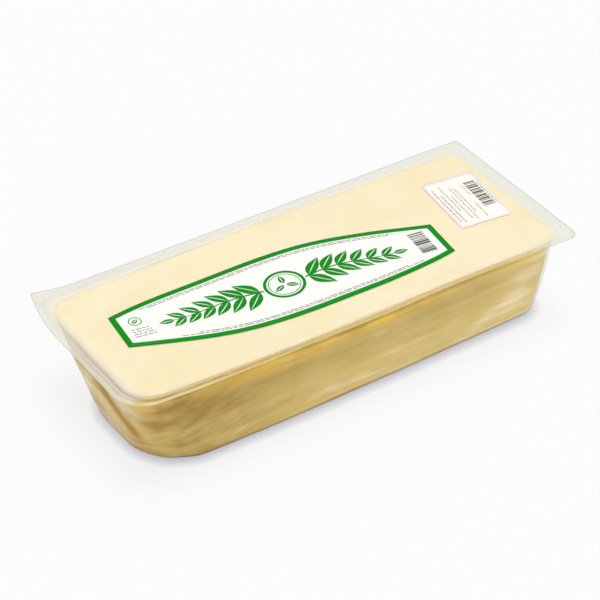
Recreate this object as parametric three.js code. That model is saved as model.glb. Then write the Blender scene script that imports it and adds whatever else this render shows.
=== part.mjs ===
// A long block of mozzarella sealed in a clear thermoformed pack, lying with its label up.
// Millimetres, +Z up, +X along the block, +Y towards its back.
// The origin is on the surface that the pack lies on, under the middle of its rim.
import * as THREE from 'three';

// The cheese, measured across its top
const CHEESE_LENGTH = 334;
const CHEESE_WIDTH = 122;
const FRONT_BULGE = 5.5;
const BACK_BULGE = 3;
const TOP_BACK_CORNER_RADIUS = 11;
const TOP_FRONT_LEFT_CORNER_RADIUS = 18;
const TOP_FRONT_RIGHT_CORNER_RADIUS = 16;
const TOP_EDGE_RADIUS = 1.5;

// Where the front edge of the top spreads towards its right end, fading towards the base
const FRONT_FLARE = { x: 170, reach: 60, depth: -4.5 };

// How far the cheese draws in from its top to its base, and how far its walls belly out on the way
const LEFT_TAPER = 14.3;
const SIDE_TAPER = 8;
const BELLY = 1.1;

// The base: how far its two ends are shifted to the front and the back, how much of the bulge is left there,
// and the radii of its corners and of its lower edge
const BASE_SKEW = 3.2;
const BASE_BULGE_SHARE = 0.5;
const BASE_LEFT_CORNER_RADIUS = 42;
const BASE_BACK_LEFT_CORNER_RADIUS = 45;
const BASE_RIGHT_CORNER_RADIUS = 20;
const BASE_EDGE_RADIUS = 4.8;

// The two films and the rim where they are sealed together
const RIM_TOP = 72;
const RIM_MARGIN = 10.5;
const RIM_WAIST = { x: 80, reach: 45, depth: 1.6 };
const POCKET_WALL = 0.4;
const LID_THICKNESS = 0.25;
const FILM_GAP = 0.3;
const CUT_CORNER_RADIUS = 2;
const FRONT_LEFT_CORNER_RADIUS = 22;
const FRONT_RIGHT_CORNER_RADIUS = 8;

// The label, a long field with bowed sides
const LABEL_LENGTH = 241;
const LABEL_END_WIDTH = 34.6;
const LABEL_MIDDLE_WIDTH = 70;
const LABEL_THICKNESS = 0.125;
const LABEL_CENTRE = new THREE.Vector2(-21.6, -6.6);
const LABEL_TURN_DEG = -6.9;

// The weight sticker near the right end
const STICKER_LENGTH = 58;
const STICKER_WIDTH = 40;
const STICKER_CORNER_RADIUS = 1.5;
const STICKER_THICKNESS = 0.125;
const STICKER_CENTRE = new THREE.Vector2(138.2, 6.1);
const STICKER_TURN_DEG = -6.3;

// How finely the shapes are divided
const CORNER_STEPS = 6;
const LONG_SIDE_STEPS = 17;
const SHORT_SIDE_STEPS = 6;
const EDGE_STEPS = 5;
const WALL_STEPS = 4;
const TOP_EDGE_STEPS = 2;
const LABEL_STEPS = 24;

// Sizes that follow
const LID_TOP = RIM_TOP + LID_THICKNESS;
const CHEESE_TOP = RIM_TOP - FILM_GAP;
const CHEESE_BASE = POCKET_WALL + FILM_GAP;
const OUTER_OFFSET = FILM_GAP + POCKET_WALL;
const RIM_HALF_LENGTH = CHEESE_LENGTH / 2 + RIM_MARGIN;
const RIM_HALF_WIDTH = CHEESE_WIDTH / 2 + RIM_MARGIN;
const QUARTER_TURN = Math.PI / 2;

// Outlines run anticlockwise from the right end of the back side, seen from above.
// Corners are back right, back left, front left and front right.
function roundedOutline({ left, right, front, back }, radii) {
  const corners = [
    [right - radii[0], back - radii[0]],
    [left + radii[1], back - radii[1]],
    [left + radii[2], front + radii[2]],
    [right - radii[3], front + radii[3]],
  ];
  const arcs = corners.map(([x, y], quarter) => {
    const arc = [];
    for (let step = 0; step <= CORNER_STEPS; step += 1) {
      const angle = (quarter + step / CORNER_STEPS) * QUARTER_TURN;
      const reach = new THREE.Vector2(Math.cos(angle), Math.sin(angle)).multiplyScalar(radii[quarter]);
      arc.push(reach.add(new THREE.Vector2(x, y)));
    }
    return arc;
  });
  return arcs.flatMap((arc, quarter) => {
    const steps = quarter % 2 === 0 ? LONG_SIDE_STEPS : SHORT_SIDE_STEPS;
    const start = arc[CORNER_STEPS];
    const end = arcs[(quarter + 1) % arcs.length][0];
    const side = [];
    for (let step = 1; step < steps; step += 1) {
      side.push(start.clone().lerp(end, step / steps));
    }
    return [...arc, ...side];
  });
}

// How far a soft wave of an edge draws it in at x
function waveAt(wave, x) {
  return wave.depth * Math.exp(-(((x - wave.x) / wave.reach) ** 2));
}

// Share of the way from the middle line to the front side, nothing on the back half
function frontShare(y, halfWidth) {
  return THREE.MathUtils.clamp(-y / halfWidth, 0, 1);
}

// Level outline of the block, drawn in or let out by inset and set at height z
function blockOutline(z, inset) {
  const depth = THREE.MathUtils.clamp((RIM_TOP - z) / RIM_TOP, 0, 1);
  const letOut = BELLY * 4 * depth * (1 - depth) - inset;
  const box = {
    left: -CHEESE_LENGTH / 2 + LEFT_TAPER * depth - letOut,
    right: CHEESE_LENGTH / 2 + letOut,
    front: -CHEESE_WIDTH / 2 + SIDE_TAPER * depth - letOut,
    back: CHEESE_WIDTH / 2 - SIDE_TAPER * depth + letOut,
  };
  const radius = (top, base, share = depth) => THREE.MathUtils.lerp(top, base, share) - inset / 2;
  // The back left corner rounds off soonest below the top
  const radii = [
    radius(TOP_BACK_CORNER_RADIUS, BASE_RIGHT_CORNER_RADIUS),
    radius(TOP_BACK_CORNER_RADIUS, BASE_BACK_LEFT_CORNER_RADIUS, Math.sqrt(depth)),
    radius(TOP_FRONT_LEFT_CORNER_RADIUS, BASE_LEFT_CORNER_RADIUS),
    radius(TOP_FRONT_RIGHT_CORNER_RADIUS, BASE_RIGHT_CORNER_RADIUS),
  ];
  const bulgeShare = THREE.MathUtils.lerp(1, BASE_BULGE_SHARE, depth);
  return roundedOutline(box, radii).map((point) => {
    const along = point.x / (CHEESE_LENGTH / 2);
    const bulge = point.y < 0 ? -FRONT_BULGE : BACK_BULGE;
    const y = point.y
      + bulge * bulgeShare * Math.max(0, 1 - along * along)
      + waveAt(FRONT_FLARE, point.x) * frontShare(point.y, CHEESE_WIDTH / 2) * (1 - depth)
      + BASE_SKEW * along * depth;
    return new THREE.Vector3(point.x, y, z);
  });
}

// Loops up the outside of the block, let out by offset, from its base to where its wall ends
function wallLoops(offset, wallTop) {
  const base = CHEESE_BASE - offset;
  const radius = BASE_EDGE_RADIUS + offset;
  const loops = [];
  for (let step = 0; step <= EDGE_STEPS; step += 1) {
    const angle = (step / EDGE_STEPS) * QUARTER_TURN;
    const inset = radius * (1 - Math.sin(angle)) - offset;
    loops.push(blockOutline(base + radius * (1 - Math.cos(angle)), inset));
  }
  for (let step = 1; step <= WALL_STEPS; step += 1) {
    loops.push(blockOutline(THREE.MathUtils.lerp(base + radius, wallTop, step / WALL_STEPS), -offset));
  }
  return loops;
}

// The cut outer edge of the rim at height z, with rounder front corners and a front side that is drawn in
function rimOutline(z) {
  const box = {
    left: -RIM_HALF_LENGTH,
    right: RIM_HALF_LENGTH,
    front: -RIM_HALF_WIDTH,
    back: RIM_HALF_WIDTH,
  };
  const radii = [CUT_CORNER_RADIUS, CUT_CORNER_RADIUS, FRONT_LEFT_CORNER_RADIUS, FRONT_RIGHT_CORNER_RADIUS];
  return roundedOutline(box, radii).map((point) => {
    const drawnIn = waveAt(RIM_WAIST, point.x) * frontShare(point.y, RIM_HALF_WIDTH);
    return new THREE.Vector3(point.x, point.y + drawnIn, z);
  });
}

// Closed body through a row of loops. In a ring the last loop joins the first again.
// Otherwise the first loop is closed by a face below and the last by one above.
function loft(loops, isRing = false) {
  const count = loops[0].length;
  const points = loops.flat();
  const triangles = [];
  const addQuad = (a, b, c, d) => {
    const shorter = points[a].distanceTo(points[c]) <= points[b].distanceTo(points[d]);
    triangles.push(...(shorter ? [a, b, c, a, c, d] : [a, b, d, b, c, d]));
  };
  const addCap = (loop, start, facesUp) => {
    const middle = loop.reduce((sum, point) => sum.add(point), new THREE.Vector3()).divideScalar(count);
    const centre = points.push(middle) - 1;
    for (let i = 0; i < count; i += 1) {
      const edge = [start + i, start + ((i + 1) % count)];
      triangles.push(centre, ...(facesUp ? edge : edge.reverse()));
    }
  };
  const lastLoop = loops.length - 1;
  for (let loop = 0; loop < lastLoop + (isRing ? 1 : 0); loop += 1) {
    const low = loop * count;
    const high = ((loop + 1) % loops.length) * count;
    for (let i = 0; i < count; i += 1) {
      const next = (i + 1) % count;
      addQuad(low + i, low + next, high + next, high + i);
    }
  }
  if (!isRing) {
    addCap(loops[0], 0, false);
    addCap(loops[lastLoop], lastLoop * count, true);
  }
  const geometry = new THREE.BufferGeometry();
  geometry.setAttribute('position', new THREE.Float32BufferAttribute(points.flatMap((p) => p.toArray()), 3));
  geometry.setIndex(triangles);
  geometry.computeVertexNormals();
  return geometry;
}

// Level plate of a given thickness, standing on z = 0
function plate(outline, thickness) {
  const atHeight = (z) => outline.map((point) => new THREE.Vector3(point.x, point.y, z));
  return loft([atHeight(0), atHeight(thickness)]);
}

function cheeseGeometry() {
  const loops = wallLoops(0, CHEESE_TOP - TOP_EDGE_RADIUS);
  for (let step = 1; step <= TOP_EDGE_STEPS; step += 1) {
    const angle = (step / TOP_EDGE_STEPS) * QUARTER_TURN;
    const z = CHEESE_TOP - TOP_EDGE_RADIUS * (1 - Math.sin(angle));
    loops.push(blockOutline(z, TOP_EDGE_RADIUS * (1 - Math.cos(angle))));
  }
  return loft(loops);
}

// Up the outside of the pocket and down its inside
function pocketGeometry() {
  return loft([...wallLoops(OUTER_OFFSET, RIM_TOP), ...wallLoops(FILM_GAP, RIM_TOP).reverse()]);
}

// The flat rim round the pocket's mouth
function rimGeometry() {
  const rimUnderside = RIM_TOP - POCKET_WALL;
  const mouth = (z) => blockOutline(RIM_TOP, -OUTER_OFFSET - FILM_GAP).map((point) => point.setZ(z));
  return loft([mouth(rimUnderside), rimOutline(rimUnderside), rimOutline(RIM_TOP), mouth(RIM_TOP)], true);
}

function lidGeometry() {
  return loft([rimOutline(RIM_TOP), rimOutline(LID_TOP)]);
}

function labelGeometry() {
  const halfLength = LABEL_LENGTH / 2;
  const bow = (LABEL_MIDDLE_WIDTH - LABEL_END_WIDTH) / 2;
  const side = (direction) => {
    const points = [];
    for (let step = 0; step <= LABEL_STEPS; step += 1) {
      const along = direction * (2 * (step / LABEL_STEPS) - 1);
      const across = LABEL_END_WIDTH / 2 + bow * (1 - along * along);
      points.push(new THREE.Vector2(along * halfLength, -direction * across));
    }
    return points;
  };
  return plate([...side(1), ...side(-1)], LABEL_THICKNESS);
}

function stickerGeometry() {
  const box = {
    left: -STICKER_WIDTH / 2,
    right: STICKER_WIDTH / 2,
    front: -STICKER_LENGTH / 2,
    back: STICKER_LENGTH / 2,
  };
  return plate(roundedOutline(box, Array(4).fill(STICKER_CORNER_RADIUS)), STICKER_THICKNESS);
}

function piece(name, geometry, look) {
  const mesh = new THREE.Mesh(geometry, new THREE.MeshStandardMaterial({ metalness: 0, ...look }));
  mesh.name = name;
  return mesh;
}

// Lays a flat print on the lid, turned about the vertical
function layOnLid(mesh, centre, turnDeg) {
  mesh.position.set(centre.x, centre.y, LID_TOP);
  mesh.rotation.z = THREE.MathUtils.degToRad(turnDeg);
  return mesh;
}

const clearFilm = { roughness: 0.12, transparent: true, opacity: 0.3 };
const pack = new THREE.Group();
pack.add(
  piece('cheese_block', cheeseGeometry(), { color: 0xfbedc8, roughness: 0.45 }),
  piece('pocket_film', pocketGeometry(), { color: 0xeae8db, ...clearFilm }),
  piece('rim_film', rimGeometry(), { color: 0xeae8db, ...clearFilm }),
  piece('lid_film', lidGeometry(), { color: 0xf2f1ea, ...clearFilm }),
  layOnLid(
    piece('label', labelGeometry(), { color: 0xf5f5ee, roughness: 0.4 }),
    LABEL_CENTRE,
    LABEL_TURN_DEG,
  ),
  layOnLid(
    piece('weight_sticker', stickerGeometry(), { color: 0xf4f1eb, roughness: 0.6 }),
    STICKER_CENTRE,
    STICKER_TURN_DEG,
  ),
);

export default pack;
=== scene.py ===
"""Looks of a long block of mozzarella sealed in a clear thermoformed pack, lying label up.

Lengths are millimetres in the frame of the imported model: +X along the block towards its sticker,
+Y towards its back, +Z up. Meshes are scaled to metres as they are finished.
"""
import logging
import math
import random
from dataclasses import dataclass
from enum import Enum
from typing import Any, Callable, Iterable

import bmesh
import bpy
from mathutils import Matrix, Vector, noise


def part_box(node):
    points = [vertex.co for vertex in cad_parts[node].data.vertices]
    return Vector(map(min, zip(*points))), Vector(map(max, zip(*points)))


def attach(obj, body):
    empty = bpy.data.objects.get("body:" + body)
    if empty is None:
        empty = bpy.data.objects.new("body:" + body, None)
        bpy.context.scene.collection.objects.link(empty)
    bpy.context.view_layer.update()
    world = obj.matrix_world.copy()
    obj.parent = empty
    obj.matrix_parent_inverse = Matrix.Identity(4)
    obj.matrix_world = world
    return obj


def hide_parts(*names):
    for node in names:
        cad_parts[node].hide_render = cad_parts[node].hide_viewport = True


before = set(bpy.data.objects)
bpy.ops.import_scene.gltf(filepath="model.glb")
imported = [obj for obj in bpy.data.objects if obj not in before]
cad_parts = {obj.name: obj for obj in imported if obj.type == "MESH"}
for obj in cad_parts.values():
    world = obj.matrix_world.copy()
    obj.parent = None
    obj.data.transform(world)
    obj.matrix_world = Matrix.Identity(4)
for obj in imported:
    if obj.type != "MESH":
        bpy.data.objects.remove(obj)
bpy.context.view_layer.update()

BODY = "root"
MM = 0.001
QUARTER_TURN = math.pi / 2
LOG = logging.getLogger("mozzarella_pack")

# Vertex attributes that the finishes read, and two of their levels
ZONE = "zone"
GROOVE = "groove"
LIP = "lip"
MOUTH_ZONE = 0.1
FRONT_LIP = 0.5

# Settings that several shader nodes share
SMOOTH = {"interpolation_type": "SMOOTHSTEP"}
MIX = {"data_type": "RGBA"}
MULTIPLY = {"data_type": "RGBA", "blend_type": "MULTIPLY"}
WHITE = "#FFFFFF"
BLACK = "#000000"

Tree = bpy.types.NodeTree
Socket = bpy.types.NodeSocket
Outputs = bpy.types.bpy_prop_collection
Material = bpy.types.Material
Mesh = bmesh.types.BMesh
Point = Callable[[int], Vector]
Pair = tuple[float, float]
Triple = tuple[float, float, float]
Radii = tuple[float, float, float, float]
Colour = tuple[float, float, float, float]


class Slot(Enum):
    """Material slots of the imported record."""

    CHEESE = "cheese"
    FILM = "clear_film"
    LABEL = "label_print"
    STICKER = "sticker_paper"


class Ink(Enum):
    """Printing inks by their dry colour, as sRGB hex."""

    GREEN = "#078D11"
    GREY = "#8E8C88"
    BLACK = "#3A3836"
    BROWN = "#6E655B"
    FAINT = "#B7B0A6"


def linear(code: str) -> Colour:
    """Turns an sRGB hex colour into linear light.

    Args:
        code: Colour as a hash and six hex digits.

    Returns:
        Red, green, blue and an alpha of one.
    """
    parts = [int(code[start:start + 2], 16) / 255 for start in (1, 3, 5)]
    red, green, blue = (c / 12.92 if c <= 0.04045 else ((c + 0.055) / 1.055) ** 2.4 for c in parts)
    return red, green, blue, 1.0


def bell(distance: float, reach: float) -> float:
    """Smooth bump, one at distance zero and nearly nothing past twice the reach."""
    return math.exp(-((distance / reach) ** 2))


def blend(low: float, high: float, share: float) -> float:
    """Value a share of the way from low to high."""
    return low + (high - low) * share


def box_mm(node: str) -> tuple[Vector, Vector]:
    """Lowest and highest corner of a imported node, in millimetres."""
    low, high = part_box(node)
    return Vector(low) / MM, Vector(high) / MM


def new_object(name: str, data: bpy.types.ID) -> bpy.types.Object:
    """Adds an object to the scene.

    Args:
        name: Name of the object.
        data: Its mesh, light or camera.

    Returns:
        The object.
    """
    thing = bpy.data.objects.new(name, data)
    bpy.context.scene.collection.objects.link(thing)
    return thing


def new_mesh(name: str, bm: Mesh, materials: list[Material]) -> bpy.types.Mesh:
    """Turns a bmesh into mesh data.

    Args:
        name: Name of the data.
        bm: The bmesh, which is used up.
        materials: Materials in the order of the faces' material numbers.

    Returns:
        The mesh data.
    """
    mesh = bpy.data.meshes.new(name)
    bm.to_mesh(mesh)
    bm.free()
    for material in materials:
        mesh.materials.append(material)
    return mesh


def bare_tree(owner: Material | bpy.types.World) -> Tree:
    """Gives a material or a world an empty node tree.

    Args:
        owner: The material or the world.

    Returns:
        Its node tree.
    """
    owner.use_nodes = True
    owner.node_tree.nodes.clear()
    return owner.node_tree


def add_node(tree: Tree, kind: str, settings: dict[str, Any] | None = None,
             stops: dict[float, str] | None = None, **inputs: Any) -> Outputs:
    """Adds one shader node with its settings, values and links.

    Args:
        tree: Node tree of a material or of the world.
        kind: Blender's name for the node type, without the ShaderNode that it starts with.
        settings: Properties of the node.
        stops: Hex colour at each place from 0 to 1, for a node that has a colour ramp.
        **inputs: Input sockets by name, with _ for a space, or by s and a number. A socket is linked.

    Returns:
        The node's outputs.
    """
    node = tree.nodes.new("ShaderNode" + kind)
    for name, value in (settings or {}).items():
        setattr(node, name, value)
    for number, (place, colour) in enumerate(sorted((stops or {}).items())):
        elements = node.color_ramp.elements
        element = elements[number] if number < 2 else elements.new(place)
        element.position = place
        element.color = linear(colour)
    for name, value in inputs.items():
        numbered = name[0] == "s" and name[1:].isdigit()
        socket = node.inputs[int(name[1:]) if numbered else name.replace("_", " ")]
        if isinstance(value, Socket):
            tree.links.new(value, socket)
        else:
            socket.default_value = value
    return node.outputs


def weighed(tree: Tree, start: float, *terms: tuple[Socket, float | Socket]) -> Socket:
    """Sum of several patterns, each times its weight.

    Args:
        tree: Node tree of the material.
        start: Value that the sum starts from.
        *terms: Each pattern with its weight.

    Returns:
        The sum.
    """
    total: float | Socket = start
    for pattern, weight in terms:
        total = add_node(tree, "Math", {"operation": "MULTIPLY_ADD"}, s0=pattern, s1=weight, s2=total)[0]
    return total


@dataclass(frozen=True)
class Fade:
    """Change of a share between two places along an axis."""

    start: float
    end: float
    least: float = 0.0
    most: float = 1.0

    def sockets(self) -> dict[str, float]:
        """Values for the sockets of a range node, with the places in metres."""
        places = {"From_Min": self.start * MM, "From_Max": self.end * MM}
        return places | {"To_Min": self.least, "To_Max": self.most}


@dataclass(frozen=True)
class Clouds:
    """Cloudy noise on object coordinates, with a size of its own along each of its axes.

    The detail is the octaves of finer noise. The shift makes two patterns differ, and the turn is in degrees.
    """

    lengths: Triple
    detail: float = 3.0
    shift: float = 0.0
    turn: Triple = (0, 0, 0)

    def value(self, tree: Tree) -> Socket:
        """Adds the noise to a material.

        Args:
            tree: Node tree of the material.

        Returns:
            The noise value, from 0 to 1.
        """
        place = add_node(tree, "TexCoord")["Object"]
        turned = add_node(tree, "Mapping", {"vector_type": "TEXTURE"}, Vector=place,
                          Location=(self.shift * MM,) * 3,
                          Rotation=tuple(math.radians(angle) for angle in self.turn),
                          Scale=tuple(length * MM for length in self.lengths))[0]
        return add_node(tree, "TexNoise", Vector=turned, Scale=1.0, Detail=self.detail, Roughness=0.55)["Fac"]


@dataclass(frozen=True)
class EndFold:
    """Straight fold that slants down the left end of the block towards its front."""

    height: float = 44.0
    slope: float = 0.5
    reach: float = 8.5
    across: Fade = Fade(-23, 23)
    windows: tuple[tuple[str, Fade], ...] = (("X", Fade(-146, -153)), ("Y", Fade(14, -8)),
                                             ("Y", Fade(-46, -34)))

    def above(self, y: float, z: float) -> float:
        """How far a point of the left end lies above the fold."""
        return z - self.slope * y - self.height

    def band(self, tree: Tree) -> Socket:
        """Share of the band along the fold, where the film is turned to the front and its crease gets painted
        brown shade.

        Args:
            tree: Node tree of the material.

        Returns:
            The share.
        """
        place = add_node(tree, "SeparateXYZ", Vector=add_node(tree, "TexCoord")["Object"])
        above = weighed(tree, -self.height * MM, (place["Z"], 1.0), (place["Y"], -self.slope))
        across = add_node(tree, "MapRange", Value=above, **self.across.sockets())[0]
        band = add_node(tree, "ValToRGB", Fac=across,
                        stops={0.25: BLACK, 0.42: WHITE, 0.58: WHITE, 0.85: BLACK})[0]
        for axis, window in self.windows:
            inside = add_node(tree, "MapRange", SMOOTH, Value=place[axis], **window.sockets())[0]
            band = weighed(tree, 0.0, (band, inside))
        return band


END_FOLD = EndFold()


@dataclass(frozen=True)
class MozzarellaFinish:
    """Low-moisture mozzarella pressed in a mould: smooth, moist and softly translucent, cream on its top.

    Its sides are a deeper gold than the top, partly where the formed film clings to them and partly as
    painted
    shade of the sides: a strong strip of uneven width under the rim, khaki with lengthwise streaks below it,
    straw towards the base and the right end, slanted wrinkles towards the left, a painted shadow line just
    under the rim, a line of painted shade at the base, and a brown band of painted shade along a fold that
    slants down the left end.
    """

    cream: str = "#FCEDD1"
    cream_shade: str = "#FAE9C6"
    brown_gold: str = "#C69F40"
    fold_crease_shade: str = "#BE9236"
    gold: str = "#FFD85C"
    khaki: str = "#DFC46E"
    straw: str = "#EDD084"
    pale_straw: str = "#FFF0C4"
    upper_shade: str = "#F0ECE3"
    painted_base_shade: str = "#9A8352"
    half_length: float = 167.0
    rim_height: float = 72.0
    scatter: float = 2.5
    gloss: float = 0.15
    middle_level: float = 0.44
    rightwards: float = 0.1
    low: Fade = Fade(30, 62)
    low_gain: Fade = Fade(-140, -95, -0.08, 0.2)
    left_end: Fade = Fade(-151, -159, most=0.3)
    right_end: Fade = Fade(95, 165, most=0.28)
    painted_rim_shadow: Fade = Fade(9.3, 6.8, most=-0.24)
    crease_depth: Fade = Fade(-70, -140, most=1.0)
    wrinkle_depth: Fade = Fade(-30, -115, most=1.4)
    streak_depth: float = 0.9
    blotch_depth: float = 1.1
    streaks: Clouds = Clouds((120, 90, 8))
    blotches: Clouds = Clouds((42, 32, 20), 2.5, 250)
    creases: Clouds = Clouds((15, 15, 60), 2.0, 40, (28, -34, 0))
    wrinkles: Clouds = Clouds((26, 24, 6), 3.0, 77, (0, -18, 0))
    strip_depth: float = 3.2
    strip_unevenness: float = 18.0
    strip_slant: float = 0.045
    strip_edge: Fade = Fade(5, -2)
    strip_waves: Clouds = Clouds((48, 48, 400), 2.0)
    top_clouds: Clouds = Clouds((45, 30, 200), 2.0)
    grain: Clouds = Clouds((9, 9, 9), 1.0)
    grain_height: float = 0.15

    def side_level(self, tree: Tree, place: Outputs, depth: Socket) -> Socket:
        """How pale the side is: 0 for brown gold, 1 for pale straw.

        Args:
            tree: Node tree of the material.
            place: Object coordinates by axis.
            depth: Depth below the rim.

        Returns:
            The level.
        """
        x = place["X"]
        # The fade just under the rim darkens the side: a painted shadow line under the rim's lip.
        low, low_gain, left_end, right_end, painted_rim_shadow, creased, wrinkled = (
            add_node(tree, "MapRange", SMOOTH, Value=value, **fade.sockets())[0]
            for value, fade in ((depth, self.low), (x, self.low_gain), (x, self.left_end),
                                (x, self.right_end), (depth, self.painted_rim_shadow), (x, self.crease_depth),
                                (x, self.wrinkle_depth)))
        # Every pattern of clouds averages one half, which is taken off again
        start = self.middle_level - (self.streak_depth + self.blotch_depth) / 2
        return weighed(tree, start, (low, low_gain), (x, self.rightwards / (self.half_length * MM)),
                       (left_end, 1.0), (right_end, 1.0), (painted_rim_shadow, 1.0),
                       (self.creases.value(tree), creased), (creased, -0.5),
                       (self.wrinkles.value(tree), wrinkled), (wrinkled, -0.5),
                       (self.streaks.value(tree), self.streak_depth),
                       (self.blotches.value(tree), self.blotch_depth))

    def strip_share(self, tree: Tree, place: Outputs, depth: Socket, along: Socket) -> Socket:
        """Share of the strong gold strip under the rim, which has an uneven edge and ends towards the right.

        Args:
            tree: Node tree of the material.
            place: Object coordinates by axis.
            depth: Depth below the rim.
            along: Share of the way from the left end to the right end.

        Returns:
            The share.
        """
        past_edge = weighed(tree, -self.strip_depth * MM, (depth, 1.0), (place["X"], self.strip_slant),
                            (self.strip_waves.value(tree), -self.strip_unevenness * MM))
        above_edge = add_node(tree, "MapRange", SMOOTH, Value=past_edge, **self.strip_edge.sockets())[0]
        stops = {0.05: "#808080", 0.22: "#D4D4D4", 0.38: WHITE, 0.6: WHITE, 0.73: "#909090"}
        by_length = add_node(tree, "ValToRGB", stops=stops, Fac=along)[0]
        return weighed(tree, 0.0, (above_edge, by_length))

    def side_colour(self, tree: Tree, place: Outputs) -> Socket:
        """Gold of the sides, deeper to the left, with a brown line of painted shade at the base and a band of
        painted shade along the fold.

        Args:
            tree: Node tree of the material.
            place: Object coordinates by axis.

        Returns:
            The colour.
        """
        length = Fade(-self.half_length, self.half_length)
        along = add_node(tree, "MapRange", Value=place["X"], **length.sockets())[0]
        up = add_node(tree, "MapRange", Value=place["Z"], **Fade(0, self.rim_height).sockets())[0]
        depth = weighed(tree, self.rim_height * MM, (place["Z"], -1.0))
        level = self.side_level(tree, place, depth)
        tones = {0.0: self.brown_gold, 0.42: self.khaki, 0.7: self.straw, 1.0: self.pale_straw}
        wall = add_node(tree, "ValToRGB", stops=tones, Fac=level)[0]
        strip = add_node(tree, "ValToRGB", stops={0.05: self.brown_gold, 0.45: self.gold}, Fac=level)[0]
        in_strip = self.strip_share(tree, place, depth, along)
        colour = add_node(tree, "Mix", MIX, s0=in_strip, s6=wall, s7=strip)[2]
        by_length = {0.02: "#FFFAF0", 0.05: "#F2EADA", 0.09: "#E0D8C0", 0.18: "#E6DECA", 0.33: "#F5F2EA",
                     0.5: "#F8F7F0", 0.8: WHITE}
        # The dark stops near the base are painted shade where the side turns under towards the floor.
        by_height = {0.012: WHITE, 0.03: self.painted_base_shade, 0.05: self.painted_base_shade, 0.09: WHITE, 0.4: WHITE,
                     0.7: self.upper_shade, 0.87: WHITE}
        for share, stops in ((along, by_length), (up, by_height)):
            shade = add_node(tree, "ValToRGB", stops=stops, Fac=share)[0]
            colour = add_node(tree, "Mix", MULTIPLY, s0=1.0, s6=colour, s7=shade)[2]
        # The band along the fold is painted brown shade of its crease.
        return add_node(tree, "Mix", MIX, s0=END_FOLD.band(tree), s6=colour, s7=linear(self.fold_crease_shade))[2]

    def material(self) -> Material:
        """Builds the cheese's material.

        Returns:
            The material.
        """
        material = bpy.data.materials.new("pressed_mozzarella")
        tree = bare_tree(material)
        place = add_node(tree, "SeparateXYZ", Vector=add_node(tree, "TexCoord")["Object"])
        zone = add_node(tree, "Attribute", {"attribute_name": ZONE})["Fac"]
        side = add_node(tree, "MapRange", SMOOTH, Value=zone, From_Min=0.3, From_Max=1.0)[0]
        top_colour = add_node(tree, "ValToRGB", stops={0.35: self.cream_shade, 0.6: self.cream},
                              Fac=self.top_clouds.value(tree))[0]
        # The sides take a deeper gold than the cream top, partly for the clinging film and partly as painted
        # shade of the sides.
        colour = add_node(tree, "Mix", MIX, s0=side, s6=top_colour, s7=self.side_colour(tree, place))[2]
        grain = add_node(tree, "Bump", Height=self.grain.value(tree), Strength=0.15,
                         Distance=self.grain_height * MM)[0]
        gloss = weighed(tree, self.gloss, (END_FOLD.band(tree), -self.gloss))
        shader = add_node(tree, "BsdfPrincipled", Base_Color=colour, Roughness=0.5, Specular_IOR_Level=gloss,
                          Subsurface_Weight=0.3, Subsurface_Scale=self.scatter * MM,
                          Subsurface_Radius=(1.0, 0.7, 0.35), Normal=grain)[0]
        add_node(tree, "OutputMaterial", Surface=shader)
        return material


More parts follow.
